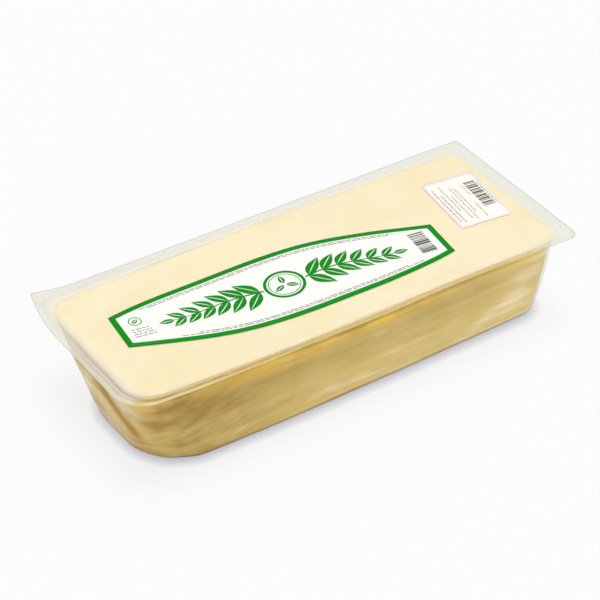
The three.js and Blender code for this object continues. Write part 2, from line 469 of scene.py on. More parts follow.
@dataclass(frozen=True)
class FilmFinish:
    """Clear polyamide and polyethylene packing film: thin and glossy, with soft forming wrinkles.

    It turns milky from the pocket's mouth to the cut edge, with grooves in the sealed rim darkened by painted
    shadow, and a lip along the front brightened by a painted highlight.
    """

    name: str
    clear: str = "#FDFDFB"
    groove_shadow_clear: str = "#F5F2EB"
    milk: str = "#EFEEE6"
    groove_shadow_milk: str = "#AC9D76"
    front_milk: str = "#F0D998"
    lip_highlight_milk: str = "#FFF6D2"
    edge_milk: str = "#E2E1DA"
    contact_haze: float = 0.004
    veil_haze: float = 0.03
    rim_haze: float = 0.24
    edge_haze: float = 0.38
    roughness: float = 0.12
    face_gloss: float = 0.014
    slant_gloss: float = 0.4
    slant_power: float = 5.0
    veils: Clouds = Clouds((60, 45, 14), 4.0, 120)
    wrinkles: Clouds = Clouds((38, 22, 16), 2.0)
    wrinkle_height: float = 0.5

    def haze(self, tree: Tree, rim: Socket) -> Socket:
        """Milky share of the film: patches where it stands off the cheese, and the whole rim.

        Args:
            tree: Node tree of the material.
            rim: Share of the way from the cheese to the cut edge.

        Returns:
            The milky share.
        """
        total = add_node(tree, "MapRange", SMOOTH, Value=self.veils.value(tree), From_Min=0.5, From_Max=0.64,
                         To_Min=self.contact_haze, To_Max=self.veil_haze)[0]
        for start, end, most in ((0.0, 0.14, self.rim_haze), (0.84, 0.97, self.edge_haze)):
            part = add_node(tree, "MapRange", SMOOTH, Value=rim, From_Min=start, From_Max=end, To_Max=most)[0]
            total = add_node(tree, "Math", {"operation": "MAXIMUM"}, s0=total, s1=part)[0]
        return total

    def milk_colour(self, tree: Tree, rim: Socket, groove: Socket) -> Socket:
        """Colour of the milky share: painted taupe shadow in the grooves, painted warm light and a lip
        highlight in front, greyer at other cut edges.

        Args:
            tree: Node tree of the material.
            rim: Share of the way from the cheese to the cut edge.
            groove: How deep the groove is.

        Returns:
            The colour.
        """
        colour = add_node(tree, "ValToRGB", stops={0.86: self.milk, 0.98: self.edge_milk}, Fac=rim)[0]
        lip = add_node(tree, "Attribute", {"attribute_name": LIP})["Fac"]
        in_front = add_node(tree, "MapRange", Value=lip, From_Max=FRONT_LIP)[0]
        # Along the front the milk takes painted warm light from the cheese below, and a painted highlight on
        # the lip.
        warm = add_node(tree, "ValToRGB", stops={FRONT_LIP: self.front_milk, 1.0: self.lip_highlight_milk}, Fac=lip)[0]
        for share, tone in ((in_front, warm), (groove, linear(self.groove_shadow_milk))):
            colour = add_node(tree, "Mix", MIX, s0=share, s6=colour, s7=tone)[2]
        return colour

    def material(self) -> Material:
        """Builds the film's material: it lets what is behind it show, and gains gloss at a slant.

        Returns:
            The material.
        """
        material = bpy.data.materials.new(self.name)
        tree = bare_tree(material)
        rim = add_node(tree, "Attribute", {"attribute_name": ZONE})["Fac"]
        groove = add_node(tree, "Attribute", {"attribute_name": GROOVE})["Fac"]
        wrinkle = add_node(tree, "Bump", Height=self.wrinkles.value(tree), Strength=0.6,
                           Distance=self.wrinkle_height * MM)[0]
        # The grooves also tint the clear film darker: painted shadow in the gap between the cheese and the
        # seal.
        tint = add_node(tree, "Mix", MIX, s0=groove, s6=linear(self.clear), s7=linear(self.groove_shadow_clear))[2]
        clear = add_node(tree, "BsdfTransparent", Color=tint)[0]
        milky = add_node(tree, "BsdfDiffuse", Color=self.milk_colour(tree, rim, groove))[0]
        body = add_node(tree, "MixShader", s0=self.haze(tree, rim), s1=clear, s2=milky)[0]
        gloss = add_node(tree, "BsdfGlossy", Roughness=self.roughness, Normal=wrinkle)[0]
        slant = add_node(tree, "LayerWeight", Blend=0.5, Normal=wrinkle)["Facing"]
        steep = add_node(tree, "Math", {"operation": "POWER"}, s0=slant, s1=self.slant_power)[0]
        slant_gloss = weighed(tree, self.slant_gloss, (END_FOLD.band(tree), -self.slant_gloss))
        share = weighed(tree, self.face_gloss, (steep, slant_gloss))
        add_node(tree, "OutputMaterial", Surface=add_node(tree, "MixShader", s0=share, s1=body, s2=gloss)[0])
        return material


@dataclass(frozen=True)
class PrintFinish:
    """Flat printed or plain sheet: coated film or paper with a faint cloudiness in its tone."""

    name: str
    colour: str
    shade: str
    roughness: float = 0.4
    gloss: float = 0.3
    tone: Clouds = Clouds((14, 14, 14))

    def material(self) -> Material:
        """Builds the sheet's material.

        Returns:
            The material.
        """
        material = bpy.data.materials.new(self.name)
        tree = bare_tree(material)
        colour = add_node(tree, "ValToRGB", stops={0.35: self.shade, 0.65: self.colour},
                          Fac=self.tone.value(tree))[0]
        shader = add_node(tree, "BsdfPrincipled", Base_Color=colour, Roughness=self.roughness,
                          Specular_IOR_Level=self.gloss)[0]
        add_node(tree, "OutputMaterial", Surface=shader)
        return material


@dataclass(frozen=True)
class Oblong:
    """Level rectangle by its four sides."""

    left: float
    right: float
    front: float
    back: float


class Ring:
    """Vertices round a rounded oblong, anticlockwise from the right end of the back side.

    Corners, and their radii, run back right, back left, front left and front right.
    """

    CORNER_STEPS = 12
    LONG_STEPS = 64
    SHORT_STEPS = 24
    COUNT = 4 * CORNER_STEPS + 2 * LONG_STEPS + 2 * SHORT_STEPS

    @staticmethod
    def on_corner(box: Oblong, radii: Radii, quarter: int, share: float) -> Vector:
        """Point on the arc of one corner.

        Args:
            box: Sides of the oblong.
            radii: Corner radii.
            quarter: Number of the corner.
            share: Share of the way round its arc.

        Returns:
            The point at height zero.
        """
        corner = quarter % 4
        radius = radii[corner]
        x = box.left + radius if corner in (1, 2) else box.right - radius
        y = box.front + radius if corner in (2, 3) else box.back - radius
        angle = (quarter + share) * QUARTER_TURN
        return Vector((x + radius * math.cos(angle), y + radius * math.sin(angle), 0))

    @classmethod
    def point(cls, index: int, box: Oblong, radii: Radii) -> Vector:
        """Place of one vertex.

        Args:
            index: Number of the vertex on its ring.
            box: Sides of the oblong.
            radii: Corner radii.

        Returns:
            The vertex's place at height zero.
        """
        left_over = index % cls.COUNT
        for quarter in range(4):
            if left_over < cls.CORNER_STEPS:
                return cls.on_corner(box, radii, quarter, left_over / cls.CORNER_STEPS)
            left_over -= cls.CORNER_STEPS
            steps = cls.SHORT_STEPS if quarter % 2 else cls.LONG_STEPS
            if left_over < steps:
                start = cls.on_corner(box, radii, quarter, 1)
                return start.lerp(cls.on_corner(box, radii, quarter + 1, 0), left_over / steps)
            left_over -= steps
        raise IndexError(index)


@dataclass(frozen=True)
class Station:
    """One ring of a skin: the place of each vertex, and what the finish reads there.

    The zone is the share of the way out to the cut edge on a film, and 0 on the top and 1 on the sides of the
    cheese.
    """

    place: Point
    zone: float = 0.0
    groove: Callable[[int], float] = lambda index: 0.0
    lip: Callable[[int], float] = lambda index: 0.0


class Skin:
    """Skin grown from one ring of vertices, extruded station by station."""

    SEAM = 0.005
    NO_LENGTH = 0.002

    def __init__(self, first: Station) -> None:
        """Starts with one ring.

        Args:
            first: Where the ring goes.
        """
        self.bm = bmesh.new()
        self.number = self.bm.verts.layers.int.new("number")
        self.zone = self.bm.verts.layers.float.new(ZONE)
        self.groove = self.bm.verts.layers.float.new(GROOVE)
        self.lip = self.bm.verts.layers.float.new(LIP)
        made = bmesh.ops.create_circle(self.bm, segments=Ring.COUNT, radius=1)
        for index, vert in enumerate(made["verts"]):
            vert[self.number] = index
        self.edges = list(self.bm.edges)
        self.put(made["verts"], first)

    def put(self, verts: Iterable[bmesh.types.BMVert], station: Station) -> None:
        """Moves a ring to its station and marks it for the finish.

        Args:
            verts: Vertices of the ring.
            station: Where they go.
        """
        for vert in verts:
            vert.co = station.place(vert[self.number])
            vert[self.zone] = station.zone
            vert[self.groove] = station.groove(vert[self.number])
            vert[self.lip] = station.lip(vert[self.number])

    def grow(self, stations: Iterable[Station]) -> None:
        """Extrudes the open ring once for each station.

        Args:
            stations: The stations in order.
        """
        for station in stations:
            made = bmesh.ops.extrude_edge_only(self.bm, edges=self.edges)["geom"]
            self.edges = [item for item in made if isinstance(item, bmesh.types.BMEdge)]
            self.put((item for item in made if isinstance(item, bmesh.types.BMVert)), station)

    def finish(self, upwards: bool) -> Mesh:
        """Closes the seams where rings have run together, and turns the faces outwards.

        Args:
            upwards: Whether the cap that was grown last faces up.

        Returns:
            The skin's mesh.
        """
        bmesh.ops.remove_doubles(self.bm, verts=self.bm.verts, dist=self.SEAM)
        bmesh.ops.dissolve_degenerate(self.bm, edges=self.bm.edges, dist=self.NO_LENGTH)
        bmesh.ops.recalc_face_normals(self.bm, faces=self.bm.faces)
        cap = max(self.bm.faces, key=lambda face: face.calc_center_median().z * (1 if upwards else -1))
        if (cap.normal.z > 0) != upwards:
            bmesh.ops.reverse_faces(self.bm, faces=self.bm.faces)
        return self.bm


def finish_piece(name: str, bm: Mesh, materials: list[Material], replaced: tuple[str, ...] = (),
                 thickness: float = 0.0) -> None:
    """Makes an object of a bmesh in millimetres, gives it a wall and lets it ride on the body.

    Args:
        name: Name of the piece.
        bm: Its mesh, which is used up.
        materials: Materials in the order of the faces' material numbers.
        replaced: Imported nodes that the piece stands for.
        thickness: Wall added on the inner side of the faces, or none.
    """
    bmesh.ops.scale(bm, vec=(MM, MM, MM), verts=bm.verts)
    mesh = new_mesh(name, bm, materials)
    mesh.polygons.foreach_set("use_smooth", [True] * len(mesh.polygons))
    piece = new_object(name, mesh)
    if thickness:
        wall = piece.modifiers.new("wall", "SOLIDIFY")
        wall.thickness = thickness * MM
        wall.offset = -1.0
    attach(piece, BODY)
    if replaced:
        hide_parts(*replaced)
    LOG.info("%s: %d faces", name, len(mesh.polygons))


@dataclass(frozen=True)
class Swell:
    """One soft rise or dip at a place along a surface or an edge."""

    place: float
    reach: float
    height: float = 1.0

    def at(self, place: float) -> float:
        """Height of the swell at another place."""
        return self.height * bell(place - self.place, self.reach)


@dataclass
class CheeseBlock:
    """The block of cheese: rounded upright corners, bulging long sides, drawn in towards the base."""

    rim_margin: float = 10.5
    front_bulge: float = 5.5
    back_bulge: float = 3.0
    front_flare: Swell = Swell(170, 60, -4.5)
    left_taper: float = 14.3
    side_taper: float = 8.0
    belly: float = 1.1
    base_skew: float = 3.2
    base_bulge_share: float = 0.5
    top_radii: Radii = (11.0, 11.0, 18.0, 16.0)
    base_radii: Radii = (20.0, 45.0, 42.0, 20.0)
    base_edge_radius: float = 4.8
    top_edge_radius: float = 1.3
    top_swells: tuple[Swell, ...] = (Swell(-68, 46, -2.9), Swell(14, 30, 1.0), Swell(88, 24, -0.9))
    edge_calm: float = 0.6
    unevenness: float = 0.6
    uneven_length: float = 55.0
    uneven_height: float = 16.0
    crease_depth: float = 1.1
    crease_reach: float = 50.0
    crease_width: float = 13.0
    crease_length: float = 45.0
    fold_depth: float = 0.7
    fold_from_left: Swell = Swell(6, 8)
    slack_depth: float = 1.6
    slack_reach: float = 22.0
    slack_heights: Swell = Swell(38, 30)
    cream_depth: float = 2.5
    edge_steps: int = 7
    round_steps: int = 6
    wall_steps: int = 26
    cap_steps: int = 14

    def __post_init__(self) -> None:
        """Takes the block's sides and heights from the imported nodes."""
        low, high = box_mm("cheese_block")
        rim_low, rim_high = box_mm("rim_film")
        margin = self.rim_margin
        self.base = low.z
        self.top = high.z
        self.rim_top = rim_high.z
        self.sides = Oblong(rim_low.x + margin, rim_high.x - margin, rim_low.y + margin, rim_high.y - margin)
        self.half_length = (self.sides.right - self.sides.left) / 2
        self.half_width = (self.sides.back - self.sides.front) / 2

    def relief(self, x: float, y: float) -> float:
        """Height of the uneven top above its level plane, calmer towards the long edges."""
        across = min(1.0, abs(y) / self.half_width)
        return (1 - self.edge_calm * across ** 4) * sum(swell.at(x) for swell in self.top_swells)

    def outline(self, index: int, z: float, inset: float) -> Vector:
        """Point on the level outline at a height.

        Args:
            index: Number of the vertex on its ring.
            z: Height of the outline.
            inset: How far the outline is drawn in.

        Returns:
            The point.
        """
        depth = min(1.0, max(0.0, 1 - z / self.rim_top))
        let_out = self.belly * 4 * depth * (1 - depth) - inset
        box = Oblong(self.sides.left + self.left_taper * depth - let_out, self.sides.right + let_out,
                     self.sides.front + self.side_taper * depth - let_out,
                     self.sides.back - self.side_taper * depth + let_out)
        # The back left corner rounds off soonest below the top
        shares = (depth, math.sqrt(depth), depth, depth)
        radii = tuple(blend(top, base, share) - inset / 2
                      for top, base, share in zip(self.top_radii, self.base_radii, shares))
        point = Ring.point(index, box, radii)
        along = point.x / self.half_length
        front_share = min(1.0, max(0.0, -point.y / self.half_width))
        bulge = -self.front_bulge if point.y < 0 else self.back_bulge
        point.y += bulge * blend(1, self.base_bulge_share, depth) * max(0.0, 1 - along * along)
        point.y += front_share * (1 - depth) * self.front_flare.at(point.x)
        point.y += self.base_skew * along * depth
        point.z = z
        return point

    def inward(self, outer: Point, share: float) -> Point:
        """Ring drawn in from an outer ring towards the block's middle line.

        Args:
            outer: The outer ring.
            share: 0 at the outer ring, 1 on the middle line.

        Returns:
            The place of each vertex.
        """
        reach = self.half_length - self.half_width
        even_radii = (self.top_radii[0],) * 4

        def middle(index: int) -> Vector:
            """Point of the middle line that a vertex is drawn to."""
            x = Ring.point(index, self.sides, even_radii).x
            return Vector((max(-reach, min(reach, x)), 0, outer(index).z))

        return lambda index: outer(index).lerp(middle(index), share)

    def wall(self, offset: float, base: float, top: float) -> list[tuple[float, Point]]:
        """Rings from the flat of the base round its edge and up the sides.

        Args:
            offset: How far the rings stand off the cheese.
            base: Height where they begin.
            top: Height where they end.

        Returns:
            The height and the place of each ring, lowest first.
        """
        radius = self.base_edge_radius + offset
        heights = []
        for step in range(self.edge_steps + 1):
            angle = step / self.edge_steps * QUARTER_TURN
            heights.append((base + radius * (1 - math.cos(angle)), radius * (1 - math.sin(angle)) - offset))
        for step in range(1, self.wall_steps + 1):
            heights.append((blend(base + radius, top, step / self.wall_steps), -offset))
        return [(z, lambda index, z=z, inset=inset: self.outline(index, z, inset)) for z, inset in heights]

    def uneven(self, point: Vector, drawn_in: bool) -> Vector:
        """Point of a side with the unevenness of pressed cheese, and the creases and fold of its left end.

        Args:
            point: Point of the even side.
            drawn_in: Whether the cheese is drawn in from the slack film at the right end.

        Returns:
            The moved point.
        """
        outward = Vector((point.x / self.half_length, point.y / self.half_width, 0))
        outward = Vector((outward.x ** 5, outward.y ** 5, 0)).normalized() if outward.length else outward
        length = self.uneven_length
        shift = self.unevenness * noise.noise(Vector((point.x / length, point.y / length,
                                                      point.z / self.uneven_height)))
        corner = Vector((point.x - self.sides.left, point.y - self.sides.front, 0))
        across = (point.z + corner.y - corner.x) / self.crease_width
        crease = noise.noise(Vector((across, (corner.x + corner.y) / self.crease_length, 0.5)))
        shift += self.crease_depth * crease * bell(corner.length, self.crease_reach)
        in_fold = bell(END_FOLD.above(point.y, point.z), END_FOLD.reach) * self.fold_from_left.at(corner.x)
        shift -= self.fold_depth * in_fold
        if drawn_in:
            slack = bell(point.x - self.sides.right, self.slack_reach) * self.slack_heights.at(point.z)
            shift -= self.slack_depth * slack
        return point + outward * shift

    def uneven_ring(self, place: Point, drawn_in: bool) -> Point:
        """Ring of uneven points."""
        return lambda index: self.uneven(place(index), drawn_in)

    def lifted(self, place: Point, lift: float = 0.0) -> Point:
        """Ring laid on the uneven top, or lifted off it.

        Args:
            place: Ring at any height.
            lift: Height above the top.

        Returns:
            The place of each vertex.
        """
        def moved(index: int) -> Vector:
            """Vertex at its height."""
            x, y, _ = place(index)
            return Vector((x, y, self.top + self.relief(x, y) + lift))

        return moved

    def on_top(self, drop: float, inset: float) -> Point:
        """Ring on the rounded top edge, following the uneven top."""
        return self.lifted(lambda index: self.outline(index, self.top - drop, inset), -drop)

    def build(self) -> Mesh:
        """Grows the cheese from the middle of its base to the middle of its top.

        Returns:
            The mesh.
        """
        shoulder = self.top - self.top_edge_radius
        wall = self.wall(0.0, self.base, shoulder)
        foot = wall[0][1]
        caps = [step / self.cap_steps for step in range(self.cap_steps + 1)]
        skin = Skin(Station(self.inward(foot, 1.0), 1.0))
        skin.grow(Station(self.inward(foot, share), 1.0) for share in reversed(caps[:-1]))
        skin.grow(Station(self.uneven_ring(place, True), min(1.0, (shoulder - z) / self.cream_depth))
                  for z, place in wall[1:])
        for step in range(1, self.round_steps + 1):
            angle = step / self.round_steps * QUARTER_TURN
            drop = self.top_edge_radius * (1 - math.sin(angle))
            skin.grow([Station(self.on_top(drop, self.top_edge_radius * (1 - math.cos(angle))))])
        edge = self.on_top(0.0, self.top_edge_radius)
        skin.grow(Station(self.lifted(self.inward(edge, share))) for share in caps[1:])
        return skin.finish(upwards=True)

    def dress(self) -> None:
        """Builds the cheese and gives it its finish."""
        pressed = MozzarellaFinish().material()
        finish_piece("cheese_body", self.build(), [pressed], ("cheese_block",))


@dataclass
class FilmPack:
    """The clear pack: a film pocket formed round the cheese, its flat rim, and the lid film sealed to it.

    Lines of the seal lie at shares of the way from the pocket's mouth to the cut edge.
    """

    cheese: CheeseBlock
    pocket_thickness: float = 0.2
    lid_thickness: float = 0.15
    stand_off: float = 0.4
    mouth_drop: float = 1.2
    lid_gap: float = 0.25
    seal_gap: float = 0.05
    lid_edge_inset: float = 0.6
    lid_edge_reach: float = 7.0
    corner_radii: Radii = (2.0, 2.0, 22.0, 8.0)
    front_left_pull: float = 2.6
    front_left_reach: float = 42.0
    front_waist: Swell = Swell(80, 45, 1.6)
    front_fade: float = 6.0
    right_fade: float = 42.0
    curl_height: float = 4.5
    curl_pull: float = 6.0
    curl_reach: float = 48.0
    groove_depth: float = 0.5
    groove_reach: float = 110.0
    groove_wander: float = 0.07
    wander_length: float = 24.0
    break_length: float = 9.0
    usual_line: float = 0.7
    line_breaks: float = 0.9
    least_line: float = 0.2
    side_groove: float = 0.55
    side_lines: tuple[Swell, ...] = (Swell(0.28, 0.1), Swell(0.58, 0.07, 0.6))
    front_groove: float = 0.45
    corner_groove: float = 0.85
    front_line: Swell = Swell(0.48, 0.16)
    lip_line: Swell = Swell(0.8, 0.13)
    least_lip: float = 0.3
    left_lip_length: float = 52.0
    left_lip_fade: float = 22.0
    right_lip_fade: float = 55.0
    edge_droop: float = 0.2
    ripple: float = 0.5
    ripple_length: float = 26.0
    free_width: float = 8.0
    rim_steps: int = 24
    lid_edge_steps: int = 6

    def __post_init__(self) -> None:
        """Takes the rim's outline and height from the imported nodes."""
        low, high = box_mm("rim_film")
        self.rim_box = Oblong(low.x, high.x, low.y, high.y)
        self.rim_top = high.z
        self.rim_shares = [1 - step / self.rim_steps for step in range(self.rim_steps)]
        self.lid_lift = self.lid_gap + self.lid_thickness

    def lid_height(self, x: float, y: float) -> float:
        """Height of the lid's upper face where it lies on the cheese."""
        return self.cheese.top + self.cheese.relief(x, y) + self.lid_lift

    def edge(self, index: int) -> Vector:
        """Point on the cut edge of the rim, level.

        Args:
            index: Number of the vertex on its ring.

        Returns:
            The point.
        """
        point = Ring.point(index, self.rim_box, self.corner_radii)
        front_share = max(0.0, point.y / self.rim_box.front)
        if point.y < self.rim_box.front + self.corner_radii[2]:
            point.y += self.front_left_pull * bell(point.x - self.rim_box.left, self.front_left_reach)
        point.y += front_share * self.front_waist.at(point.x)
        point.z = self.rim_top
        return point

    def in_front(self, edge: Vector) -> float:
        """Share of the front look, which fades towards the right corner and over the sides.

        Args:
            edge: Point on the cut edge.

        Returns:
            The share, 1 along the front edge.
        """
        front = self.rim_box.front + self.front_left_pull + self.front_waist.at(edge.x)
        past_corner = 1 - bell(edge.x - self.rim_box.right, self.right_fade)
        return bell(max(0.0, edge.y - front), self.front_fade) * past_corner

    def groove(self, edge: Vector, share: float) -> float:
        """How deep the grooves are: near the front left corner and, more faintly, along the front.

        Args:
            edge: Point on the cut edge.
            share: 0 at the pocket's mouth, 1 at the cut edge.

        Returns:
            The depth, from 0 to about 1.
        """
        folded = Vector((self.rim_box.left, self.rim_box.front, self.rim_top))
        near = bell((edge - folded).length, self.groove_reach)
        unbroken = self.usual_line + self.line_breaks * noise.noise(edge / self.break_length)
        unbroken = min(1.0, max(self.least_line, unbroken))
        wander = share + self.groove_wander * noise.noise(edge / self.wander_length)
        side = self.side_groove * near * sum(line.at(wander) for line in self.side_lines)
        front = blend(self.front_groove, self.corner_groove, near) * self.front_line.at(wander) * unbroken
        return blend(side, front, self.in_front(edge))

    def lip(self, edge: Vector, share: float) -> float:
        """How far the rim is painted warm, as light from the cheese below, along the front, with a painted
        lip highlight brighter at both ends.

        Args:
            edge: Point on the cut edge.
            share: 0 at the pocket's mouth, 1 at the cut edge.

        Returns:
            The warmth, from 0 to 1.
        """
        past_left = max(0.0, edge.x - self.rim_box.left - self.left_lip_length)
        bright = max(self.least_lip, bell(past_left, self.left_lip_fade),
                     bell(edge.x - self.rim_box.right, self.right_lip_fade))
        return self.in_front(edge) * blend(FRONT_LIP, 1, bright * self.lip_line.at(share))

    def rim_point(self, index: int, share: float, lift: float) -> Vector:
        """Point on the rim, with its ripple, its grooves and the corner that curls up.

        Args:
            index: Number of the vertex on its ring.
            share: 0 at the pocket's mouth, 1 at the cut edge.
            lift: Height above the rim's own level.

        Returns:
            The point.
        """
        edge = self.edge(index)
        mouth = self.cheese.outline(index, self.rim_top, -self.stand_off)
        point = mouth.lerp(edge, share)
        curled = Vector((self.rim_box.left, self.rim_box.back, self.rim_top))
        curl = max(0.0, 1 - (edge - curled).length / self.curl_reach) ** 2 * share ** 1.5
        freedom = min(1.0, (edge - mouth).length / self.free_width)
        ripple = noise.noise(edge / self.ripple_length) * self.ripple * share
        sunk = self.groove_depth * self.groove(edge, share)
        point.z += lift + freedom * (ripple - sunk - self.edge_droop * share ** 3)
        point.z += self.curl_height * curl
        point.x += self.curl_pull * curl
        return point

    def rim(self, lift: float) -> list[Station]:
        """Stations of the rim, from its cut edge to the pocket's mouth.

        Args:
            lift: Height above the rim's own level.

        Returns:
            The stations.
        """
        return [Station(lambda index, share=share: self.rim_point(index, share, lift),
                        blend(MOUTH_ZONE, 1, share),
                        lambda index, share=share: self.groove(self.edge(index), share),
                        lambda index, share=share: self.lip(self.edge(index), share))
                for share in self.rim_shares]

    def build_pocket(self) -> Mesh:
        """Grows the bottom film from the cut edge of its rim, down the pocket and in over its base.

        Returns:
            The mesh.
        """
        first, *others = self.rim(0.0)
        skin = Skin(first)
        skin.grow(others)
        wall = self.cheese.wall(self.stand_off, 0.0, self.rim_top - self.mouth_drop)
        foot = wall[0][1]
        skin.grow(Station(self.cheese.uneven_ring(place, False)) for z, place in reversed(wall[1:]))
        caps = self.cheese.cap_steps
        skin.grow(Station(self.cheese.inward(foot, step / caps)) for step in range(caps + 1))
        return skin.finish(upwards=False)

    def build_lid(self) -> Mesh:
        """Grows the lid film from the cut edge of the rim in over the cheese, milky where it nears the rim.

        Returns:
            The mesh.
        """
        cheese = self.cheese
        first, *others = self.rim(self.lid_thickness + self.seal_gap)
        skin = Skin(first)
        skin.grow(others)
        for step in range(self.lid_edge_steps + 1):
            share = step / self.lid_edge_steps
            ring = cheese.on_top(0.0, blend(self.lid_edge_inset, self.lid_edge_reach, share))
            skin.grow([Station(cheese.lifted(ring, self.lid_lift), MOUTH_ZONE * (1 - share) ** 2)])
        inner = cheese.on_top(0.0, self.lid_edge_reach)
        for step in range(1, cheese.cap_steps + 1):
            ring = cheese.inward(inner, step / cheese.cap_steps)
            skin.grow([Station(cheese.lifted(ring, self.lid_lift))])
        return skin.finish(upwards=True)

    def dress(self) -> None:
        """Builds both films and gives them their finish."""
        formed = FilmFinish("formed_bottom_film").material()
        sealed = FilmFinish("sealed_lid_film", veil_haze=0.01, wrinkles=Clouds((60, 40, 40), 2.0),
                            wrinkle_height=0.3).material()
        finish_piece("pocket_skin", self.build_pocket(), [formed], ("pocket_film", "rim_film"),
                     self.pocket_thickness)
        finish_piece("lid_skin", self.build_lid(), [sealed], ("lid_film",), self.lid_thickness)


@dataclass
class FlatPrint:
    """A sheet laid on the lid: its own plane, its place and its turn, with helpers that print on it."""

    pack: FilmPack
    centre: Triple
    turn_deg: float
    sheet_thickness: float = 0.1
    ink_thickness: float = 0.03
    ink_height: float = 0.06

    BAR_PIECE = 4.0
    DASH_GAP = 0.9

    def lay(self, bm: Mesh, height: float) -> Mesh:
        """Moves a flat mesh to its place and lays it on the lid.

        Args:
            bm: Mesh in the sheet's own plane.
            height: Height above the lid.

        Returns:
            The same mesh.
        """
        turn = Matrix.Rotation(math.radians(self.turn_deg), 4, "Z")
        bmesh.ops.transform(bm, matrix=Matrix.Translation(self.centre) @ turn, verts=bm.verts)
        for vert in bm.verts:
            vert.co.z += self.pack.lid_height(vert.co.x, vert.co.y) + height
        return bm

    @classmethod
    def bar(cls, bm: Mesh, middle: Vector, length: float, width: float, angle: float = 0.0) -> None:
        """Prints one straight bar.

        Args:
            bm: Mesh that gets the bar.
            middle: Middle of the bar.
            length: Its length.
            width: Its width.
            angle: Its turn from the sheet's own X axis.
        """
        pieces = max(1, round(length / cls.BAR_PIECE))
        place = Matrix.Translation(middle) @ Matrix.Rotation(angle, 4, "Z")
        place = place @ Matrix.Diagonal((length, width, 1, 1))
        bmesh.ops.create_grid(bm, x_segments=pieces, y_segments=1, size=0.5, matrix=place)

    @classmethod
    def bar_code(cls, bm: Mesh, start: Triple, size: Pair, unit: float, draw: random.Random) -> None:
        """Prints a ladder of bars of uneven thickness, from start towards lower Y.

        Args:
            bm: Mesh that gets the bars.
            start: Middle of the ladder's upper end.
            size: Length of each bar, and length of the ladder.
            unit: Thickness of the thinnest bar.
            draw: Source of the bars' thicknesses.
        """
        y = 0.0
        while y < size[1]:
            thick = unit * draw.choice((1, 1, 2, 3))
            cls.bar(bm, Vector(start) + Vector((0, -y - thick / 2, 0)), size[0], thick)
            y += thick + unit * draw.choice((1, 1, 2))

    @classmethod
    def dashes(cls, bm: Mesh, path: Callable[[float], Vector], ends: Pair, width: float, draw: random.Random,
               lengths: Pair) -> None:
        """Prints a row of dashes along a path.

        Args:
            bm: Mesh that gets the dashes.
            path: Point of the path at a distance along it.
            ends: Where the row begins and ends.
            width: Height of the dashes.
            draw: Source of the dashes' lengths.
            lengths: Shortest and longest dash.
        """
        place, end = ends
        while place < end:
            length = min(draw.uniform(*lengths), end - place)
            middle = path(place + length / 2)
            slope = path(place + length) - path(place)
            cls.bar(bm, middle, length, width, math.atan2(slope.y, slope.x))
            place += length + cls.DASH_GAP


